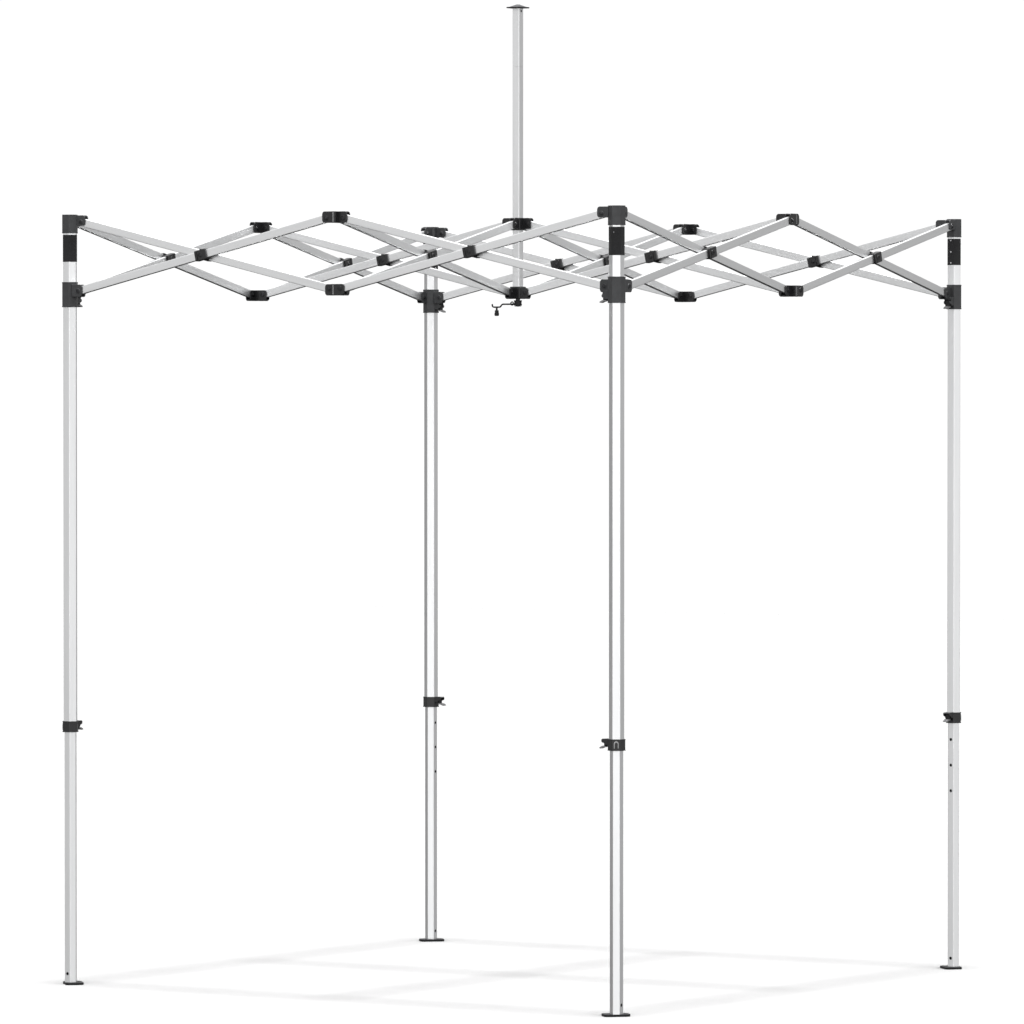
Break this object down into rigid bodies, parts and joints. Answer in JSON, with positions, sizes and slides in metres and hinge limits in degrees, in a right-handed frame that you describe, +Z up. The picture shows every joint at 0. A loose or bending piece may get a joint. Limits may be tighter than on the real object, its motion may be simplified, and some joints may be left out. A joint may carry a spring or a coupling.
{
  "type": "pop up canopy frame",
  "caption": "Square folding scissor frame on four telescoping hexagonal legs, with a centre pole and crank, no fabric top.",
  "frame": {"origin": "on the ground under the centre pole, at the middle of the four feet", "axes": "+Z up along the centre pole, +X and +Y along the sides; the front side faces -Y and the crank points to -X"},
  "size_m": [2.0892, 2.0892, 3.07],
  "materials": {
    "aluminium": "silver anodised, fine drawn grain, satin",
    "black_plastic": "moulded nylon, lightly textured",
    "latch_metal": "zinc plated",
    "crank_metal": "black coated rod with a plastic grip"
  },
  "bodies": {
    "hub_top": {"hub_top": "black_plastic"},
    "hub_bottom": {"hub_bottom": "black_plastic"},
    "pole_upper": {"pole_upper": "aluminium"},
    "crank": {"crank": "crank_metal"},
    "arm_front_left_rising": {"arm_front_left_rising": "aluminium"},
    "arm_front_left_falling": {"arm_front_left_falling": "aluminium"},
    "arm_front_right_rising": {"arm_front_right_rising": "aluminium"},
    "arm_front_right_falling": {"arm_front_right_falling": "aluminium"},
    "arm_front_centre_rising": {"arm_front_centre_rising": "aluminium"},
    "arm_front_centre_falling": {"arm_front_centre_falling": "aluminium"},
    "mid_top_front": {"mid_top_bracket_front": "black_plastic"},
    "mid_bottom_front": {"mid_bottom_bracket_front": "black_plastic"},
    "leg_front_left": {"upper_leg_front_left": "aluminium", "leg_top_bracket_front_left": "black_plastic"},
    "slider_front_left": {"slider_bracket_front_left": "black_plastic"},
    "lower_leg_front_left": {"lower_leg_front_left": "aluminium"},
    "slider_latch_front_left": {"slider_latch_front_left": "latch_metal"},
    "leg_latch_front_left": {"leg_latch_front_left": "latch_metal"},
    "arm_right_left_rising": {"arm_right_left_rising": "aluminium"},
    "arm_right_left_falling": {"arm_right_left_falling": "aluminium"},
    "arm_right_right_rising": {"arm_right_right_rising": "aluminium"},
    "arm_right_right_falling": {"arm_right_right_falling": "aluminium"},
    "arm_right_centre_rising": {"arm_right_centre_rising": "aluminium"},
    "arm_right_centre_falling": {"arm_right_centre_falling": "aluminium"},
    "mid_top_right": {"mid_top_bracket_right": "black_plastic"},
    "mid_bottom_right": {"mid_bottom_bracket_right": "black_plastic"},
    "leg_front_right": {"upper_leg_front_right": "aluminium", "leg_top_bracket_front_right": "black_plastic"},
    "slider_front_right": {"slider_bracket_front_right": "black_plastic"},
    "lower_leg_front_right": {"lower_leg_front_right": "aluminium"},
    "slider_latch_front_right": {"slider_latch_front_right": "latch_metal"},
    "leg_latch_front_right": {"leg_latch_front_right": "latch_metal"},
    "arm_back_left_rising": {"arm_back_left_rising": "aluminium"},
    "arm_back_left_falling": {"arm_back_left_falling": "aluminium"},
    "arm_back_right_rising": {"arm_back_right_rising": "aluminium"},
    "arm_back_right_falling": {"arm_back_right_falling": "aluminium"},
    "arm_back_centre_rising": {"arm_back_centre_rising": "aluminium"},
    "arm_back_centre_falling": {"arm_back_centre_falling": "aluminium"},
    "mid_top_back": {"mid_top_bracket_back": "black_plastic"},
    "mid_bottom_back": {"mid_bottom_bracket_back": "black_plastic"},
    "leg_back_right": {"upper_leg_back_right": "aluminium", "leg_top_bracket_back_right": "black_plastic"},
    "slider_back_right": {"slider_bracket_back_right": "black_plastic"},
    "lower_leg_back_right": {"lower_leg_back_right": "aluminium"},
    "slider_latch_back_right": {"slider_latch_back_right": "latch_metal"},
    "leg_latch_back_right": {"leg_latch_back_right": "latch_metal"},
    "arm_left_left_rising": {"arm_left_left_rising": "aluminium"},
    "arm_left_left_falling": {"arm_left_left_falling": "aluminium"},
    "arm_left_right_rising": {"arm_left_right_rising": "aluminium"},
    "arm_left_right_falling": {"arm_left_right_falling": "aluminium"},
    "arm_left_centre_rising": {"arm_left_centre_rising": "aluminium"},
    "arm_left_centre_falling": {"arm_left_centre_falling": "aluminium"},
    "mid_top_left": {"mid_top_bracket_left": "black_plastic"},
    "mid_bottom_left": {"mid_bottom_bracket_left": "black_plastic"},
    "leg_back_left": {"upper_leg_back_left": "aluminium", "leg_top_bracket_back_left": "black_plastic"},
    "slider_back_left": {"slider_bracket_back_left": "black_plastic"},
    "lower_leg_back_left": {"lower_leg_back_left": "aluminium"},
    "slider_latch_back_left": {"slider_latch_back_left": "latch_metal"},
    "leg_latch_back_left": {"leg_latch_back_left": "latch_metal"}
  },
  "joints": [
    {"name": "frame_fold", "type": "hinge", "parent": "hub_top", "child": "arm_front_centre_rising", "pos_m": [0.00775, -0.036, 2.376], "axis": [1, 0, 0], "range_deg": [0, 72]},
    {"name": "crossing_front_centre", "type": "hinge", "parent": "arm_front_centre_rising", "child": "arm_front_centre_falling", "pos_m": [0, -0.506, 2.269], "axis": [1, 0, 0], "range_deg": [-144, 0]},
    {"name": "mid_bottom_pivot_front", "type": "hinge", "parent": "arm_front_centre_rising", "child": "mid_bottom_front", "pos_m": [0.00775, -0.976, 2.162], "axis": [1, 0, 0], "range_deg": [-72, 0]},
    {"name": "mid_top_pivot_front", "type": "hinge", "parent": "arm_front_centre_falling", "child": "mid_top_front", "pos_m": [-0.00775, -0.976, 2.376], "axis": [1, 0, 0], "range_deg": [0, 72]},
    {"name": "hub_bottom_pivot", "type": "hinge", "parent": "arm_front_centre_falling", "child": "hub_bottom", "pos_m": [-0.00775, -0.036, 2.162], "axis": [1, 0, 0], "range_deg": [0, 72]},
    {"name": "top_left_pivot_front", "type": "hinge", "parent": "mid_top_front", "child": "arm_front_left_rising", "pos_m": [-0.025, -1.01575, 2.376], "axis": [0, -1, 0], "range_deg": [0, 72]},
    {"name": "bottom_left_pivot_front", "type": "hinge", "parent": "mid_bottom_front", "child": "arm_front_left_falling", "pos_m": [-0.025, -1.00025, 2.162], "axis": [0, -1, 0], "range_deg": [-72, 0]},
    {"name": "bottom_right_pivot_front", "type": "hinge", "parent": "mid_bottom_front", "child": "arm_front_right_rising", "pos_m": [0.025, -1.01575, 2.162], "axis": [0, -1, 0], "range_deg": [0, 72]},
    {"name": "top_right_pivot_front", "type": "hinge", "parent": "mid_top_front", "child": "arm_front_right_falling", "pos_m": [0.025, -1.00025, 2.376], "axis": [0, -1, 0], "range_deg": [-72, 0]},
    {"name": "leg_top_pivot_front_left", "type": "hinge", "parent": "arm_front_left_falling", "child": "leg_front_left", "pos_m": [-0.965, -1.00025, 2.376], "axis": [0, -1, 0], "range_deg": [0, 72]},
    {"name": "slider_pivot_front_left", "type": "hinge", "parent": "arm_front_left_rising", "child": "slider_front_left", "pos_m": [-0.965, -1.01575, 2.162], "axis": [0, -1, 0], "range_deg": [-72, 0]},
    {"name": "leg_height_front_left", "type": "slide", "parent": "leg_front_left", "child": "lower_leg_front_left", "axis": [0, 0, 1], "range_m": [0, 0.78]},
    {"name": "slider_release_front_left", "type": "slide", "parent": "slider_front_left", "child": "slider_latch_front_left", "axis": [0, 1, 0], "range_m": [0, 0.006], "stiffness_N_per_m": 600, "springref_m": -0.004},
    {"name": "leg_release_front_left", "type": "slide", "parent": "leg_front_left", "child": "leg_latch_front_left", "axis": [0, 1, 0], "range_m": [0, 0.006], "stiffness_N_per_m": 600, "springref_m": -0.004},
    {"name": "hub_pivot_right", "type": "hinge", "parent": "hub_top", "child": "arm_right_centre_rising", "pos_m": [0.036, 0.00775, 2.376], "axis": [0, 1, 0], "range_deg": [0, 72]},
    {"name": "crossing_right_centre", "type": "hinge", "parent": "arm_right_centre_rising", "child": "arm_right_centre_falling", "pos_m": [0.506, 0, 2.269], "axis": [0, 1, 0], "range_deg": [-144, 0]},
    {"name": "mid_bottom_pivot_right", "type": "hinge", "parent": "arm_right_centre_rising", "child": "mid_bottom_right", "pos_m": [0.976, 0.00775, 2.162], "axis": [0, 1, 0], "range_deg": [-72, 0]},
    {"name": "mid_top_pivot_right", "type": "hinge", "parent": "arm_right_centre_falling", "child": "mid_top_right", "pos_m": [0.976, -0.00775, 2.376], "axis": [0, 1, 0], "range_deg": [0, 72]},
    {"name": "top_left_pivot_right", "type": "hinge", "parent": "mid_top_right", "child": "arm_right_left_rising", "pos_m": [1.01575, -0.025, 2.376], "axis": [1, 0, 0], "range_deg": [0, 72]},
    {"name": "bottom_left_pivot_right", "type": "hinge", "parent": "mid_bottom_right", "child": "arm_right_left_falling", "pos_m": [1.00025, -0.025, 2.162], "axis": [1, 0, 0], "range_deg": [-72, 0]},
    {"name": "bottom_right_pivot_right", "type": "hinge", "parent": "mid_bottom_right", "child": "arm_right_right_rising", "pos_m": [1.01575, 0.025, 2.162], "axis": [1, 0, 0], "range_deg": [0, 72]},
    {"name": "top_right_pivot_right", "type": "hinge", "parent": "mid_top_right", "child": "arm_right_right_falling", "pos_m": [1.00025, 0.025, 2.376], "axis": [1, 0, 0], "range_deg": [-72, 0]},
    {"name": "leg_top_pivot_front_right", "type": "hinge", "parent": "arm_right_left_falling", "child": "leg_front_right", "pos_m": [1.00025, -0.965, 2.376], "axis": [1, 0, 0], "range_deg": [0, 72]},
    {"name": "slider_pivot_front_right", "type": "hinge", "parent": "arm_right_left_rising", "child": "slider_front_right", "pos_m": [1.01575, -0.965, 2.162], "axis": [1, 0, 0], "range_deg": [-72, 0]},
    {"name": "leg_height_front_right", "type": "slide", "parent": "leg_front_right", "child": "lower_leg_front_right", "axis": [0, 0, 1], "range_m": [0, 0.78]},
    {"name": "slider_release_front_right", "type": "slide", "parent": "slider_front_right", "child": "slider_latch_front_right", "axis": [-1, 0, 0], "range_m": [0, 0.006], "stiffness_N_per_m": 600, "springref_m": -0.004},
    {"name": "leg_release_front_right", "type": "slide", "parent": "leg_front_right", "child": "leg_latch_front_right", "axis": [-1, 0, 0], "range_m": [0, 0.006], "stiffness_N_per_m": 600, "springref_m": -0.004},
    {"name": "hub_pivot_back", "type": "hinge", "parent": "hub_top", "child": "arm_back_centre_rising", "pos_m": [-0.00775, 0.036, 2.376], "axis": [-1, 0, 0], "range_deg": [0, 72]},
    {"name": "crossing_back_centre", "type": "hinge", "parent": "arm_back_centre_rising", "child": "arm_back_centre_falling", "pos_m": [0, 0.506, 2.269], "axis": [-1, 0, 0], "range_deg": [-144, 0]},
    {"name": "mid_bottom_pivot_back", "type": "hinge", "parent": "arm_back_centre_rising", "child": "mid_bottom_back", "pos_m": [-0.00775, 0.976, 2.162], "axis": [-1, 0, 0], "range_deg": [-72, 0]},
    {"name": "mid_top_pivot_back", "type": "hinge", "parent": "arm_back_centre_falling", "child": "mid_top_back", "pos_m": [0.00775, 0.976, 2.376], "axis": [-1, 0, 0], "range_deg": [0, 72]},
    {"name": "top_left_pivot_back", "type": "hinge", "parent": "mid_top_back", "child": "arm_back_left_rising", "pos_m": [0.025, 1.01575, 2.376], "axis": [0, 1, 0], "range_deg": [0, 72]},
    {"name": "bottom_left_pivot_back", "type": "hinge", "parent": "mid_bottom_back", "child": "arm_back_left_falling", "pos_m": [0.025, 1.00025, 2.162], "axis": [0, 1, 0], "range_deg": [-72, 0]},
    {"name": "bottom_right_pivot_back", "type": "hinge", "parent": "mid_bottom_back", "child": "arm_back_right_rising", "pos_m": [-0.025, 1.01575, 2.162], "axis": [0, 1, 0], "range_deg": [0, 72]},
    {"name": "top_right_pivot_back", "type": "hinge", "parent": "mid_top_back", "child": "arm_back_right_falling", "pos_m": [-0.025, 1.00025, 2.376], "axis": [0, 1, 0], "range_deg": [-72, 0]},
    {"name": "leg_top_pivot_back_right", "type": "hinge", "parent": "arm_back_left_falling", "child": "leg_back_right", "pos_m": [0.965, 1.00025, 2.376], "axis": [0, 1, 0], "range_deg": [0, 72]},
    {"name": "slider_pivot_back_right", "type": "hinge", "parent": "arm_back_left_rising", "child": "slider_back_right", "pos_m": [0.965, 1.01575, 2.162], "axis": [0, 1, 0], "range_deg": [-72, 0]},
    {"name": "leg_height_back_right", "type": "slide", "parent": "leg_back_right", "child": "lower_leg_back_right", "axis": [0, 0, 1], "range_m": [0, 0.78]},
    {"name": "slider_release_back_right", "type": "slide", "parent": "slider_back_right", "child": "slider_latch_back_right", "axis": [0, -1, 0], "range_m": [0, 0.006], "stiffness_N_per_m": 600, "springref_m": -0.004},
    {"name": "leg_release_back_right", "type": "slide", "parent": "leg_back_right", "child": "leg_latch_back_right", "axis": [0, -1, 0], "range_m": [0, 0.006], "stiffness_N_per_m": 600, "springref_m": -0.004},
    {"name": "hub_pivot_left", "type": "hinge", "parent": "hub_top", "child": "arm_left_centre_rising", "pos_m": [-0.036, -0.00775, 2.376], "axis": [0, -1, 0], "range_deg": [0, 72]},
    {"name": "crossing_left_centre", "type": "hinge", "parent": "arm_left_centre_rising", "child": "arm_left_centre_falling", "pos_m": [-0.506, 0, 2.269], "axis": [0, -1, 0], "range_deg": [-144, 0]},
    {"name": "mid_bottom_pivot_left", "type": "hinge", "parent": "arm_left_centre_rising", "child": "mid_bottom_left", "pos_m": [-0.976, -0.00775, 2.162], "axis": [0, -1, 0], "range_deg": [-72, 0]},
    {"name": "mid_top_pivot_left", "type": "hinge", "parent": "arm_left_centre_falling", "child": "mid_top_left", "pos_m": [-0.976, 0.00775, 2.376], "axis": [0, -1, 0], "range_deg": [0, 72]},
    {"name": "top_left_pivot_left", "type": "hinge", "parent": "mid_top_left", "child": "arm_left_left_rising", "pos_m": [-1.01575, 0.025, 2.376], "axis": [-1, 0, 0], "range_deg": [0, 72]},
    {"name": "bottom_left_pivot_left", "type": "hinge", "parent": "mid_bottom_left", "child": "arm_left_left_falling", "pos_m": [-1.00025, 0.025, 2.162], "axis": [-1, 0, 0], "range_deg": [-72, 0]},
    {"name": "bottom_right_pivot_left", "type": "hinge", "parent": "mid_bottom_left", "child": "arm_left_right_rising", "pos_m": [-1.01575, -0.025, 2.162], "axis": [-1, 0, 0], "range_deg": [0, 72]},
    {"name": "top_right_pivot_left", "type": "hinge", "parent": "mid_top_left", "child": "arm_left_right_falling", "pos_m": [-1.00025, -0.025, 2.376], "axis": [-1, 0, 0], "range_deg": [-72, 0]},
    {"name": "leg_top_pivot_back_left", "type": "hinge", "parent": "arm_left_left_falling", "child": "leg_back_left", "pos_m": [-1.00025, 0.965, 2.376], "axis": [-1, 0, 0], "range_deg": [0, 72]},
    {"name": "slider_pivot_back_left", "type": "hinge", "parent": "arm_left_left_rising", "child": "slider_back_left", "pos_m": [-1.01575, 0.965, 2.162], "axis": [-1, 0, 0], "range_deg": [-72, 0]},
    {"name": "leg_height_back_left", "type": "slide", "parent": "leg_back_left", "child": "lower_leg_back_left", "axis": [0, 0, 1], "range_m": [0, 0.78]},
    {"name": "slider_release_back_left", "type": "slide", "parent": "slider_back_left", "child": "slider_latch_back_left", "axis": [1, 0, 0], "range_m": [0, 0.006], "stiffness_N_per_m": 600, "springref_m": -0.004},
    {"name": "leg_release_back_left", "type": "slide", "parent": "leg_back_left", "child": "leg_latch_back_left", "axis": [1, 0, 0], "range_m": [0, 0.006], "stiffness_N_per_m": 600, "springref_m": -0.004},
    {"name": "pole_rise", "type": "slide", "parent": "hub_bottom", "child": "pole_upper", "axis": [0, 0, 1], "range_m": [0, 0.101]},
    {"name": "crank_turn", "type": "hinge", "parent": "hub_bottom", "child": "crank", "pos_m": [0, 0, 2.128], "axis": [0, 0, 1], "continuous": true}
  ],
  "couplings": [
    {"joint": "crossing_front_centre", "follows": "frame_fold", "ratio": -2},
    {"joint": "mid_bottom_pivot_front", "follows": "frame_fold", "ratio": -1},
    {"joint": "mid_top_pivot_front", "follows": "frame_fold", "ratio": 1},
    {"joint": "hub_bottom_pivot", "follows": "frame_fold", "ratio": 1},
    {"joint": "top_left_pivot_front", "follows": "frame_fold", "ratio": 1},
    {"joint": "bottom_left_pivot_front", "follows": "frame_fold", "ratio": -1},
    {"joint": "bottom_right_pivot_front", "follows": "frame_fold", "ratio": 1},
    {"joint": "top_right_pivot_front", "follows": "frame_fold", "ratio": -1},
    {"joint": "leg_top_pivot_front_left", "follows": "frame_fold", "ratio": 1},
    {"joint": "slider_pivot_front_left", "follows": "frame_fold", "ratio": -1},
    {"joint": "hub_pivot_right", "follows": "frame_fold", "ratio": 1},
    {"joint": "crossing_right_centre", "follows": "frame_fold", "ratio": -2},
    {"joint": "mid_bottom_pivot_right", "follows": "frame_fold", "ratio": -1},
    {"joint": "mid_top_pivot_right", "follows": "frame_fold", "ratio": 1},
    {"joint": "top_left_pivot_right", "follows": "frame_fold", "ratio": 1},
    {"joint": "bottom_left_pivot_right", "follows": "frame_fold", "ratio": -1},
    {"joint": "bottom_right_pivot_right", "follows": "frame_fold", "ratio": 1},
    {"joint": "top_right_pivot_right", "follows": "frame_fold", "ratio": -1},
    {"joint": "leg_top_pivot_front_right", "follows": "frame_fold", "ratio": 1},
    {"joint": "slider_pivot_front_right", "follows": "frame_fold", "ratio": -1},
    {"joint": "hub_pivot_back", "follows": "frame_fold", "ratio": 1},
    {"joint": "crossing_back_centre", "follows": "frame_fold", "ratio": -2},
    {"joint": "mid_bottom_pivot_back", "follows": "frame_fold", "ratio": -1},
    {"joint": "mid_top_pivot_back", "follows": "frame_fold", "ratio": 1},
    {"joint": "top_left_pivot_back", "follows": "frame_fold", "ratio": 1},
    {"joint": "bottom_left_pivot_back", "follows": "frame_fold", "ratio": -1},
    {"joint": "bottom_right_pivot_back", "follows": "frame_fold", "ratio": 1},
    {"joint": "top_right_pivot_back", "follows": "frame_fold", "ratio": -1},
    {"joint": "leg_top_pivot_back_right", "follows": "frame_fold", "ratio": 1},
    {"joint": "slider_pivot_back_right", "follows": "frame_fold", "ratio": -1},
    {"joint": "hub_pivot_left", "follows": "frame_fold", "ratio": 1},
    {"joint": "crossing_left_centre", "follows": "frame_fold", "ratio": -2},
    {"joint": "mid_bottom_pivot_left", "follows": "frame_fold", "ratio": -1},
    {"joint": "mid_top_pivot_left", "follows": "frame_fold", "ratio": 1},
    {"joint": "top_left_pivot_left", "follows": "frame_fold", "ratio": 1},
    {"joint": "bottom_left_pivot_left", "follows": "frame_fold", "ratio": -1},
    {"joint": "bottom_right_pivot_left", "follows": "frame_fold", "ratio": 1},
    {"joint": "top_right_pivot_left", "follows": "frame_fold", "ratio": -1},
    {"joint": "leg_top_pivot_back_left", "follows": "frame_fold", "ratio": 1},
    {"joint": "slider_pivot_back_left", "follows": "frame_fold", "ratio": -1},
    {"joint": "pole_rise", "follows": "frame_fold", "m_per_rad": 0.079577}
  ]
}
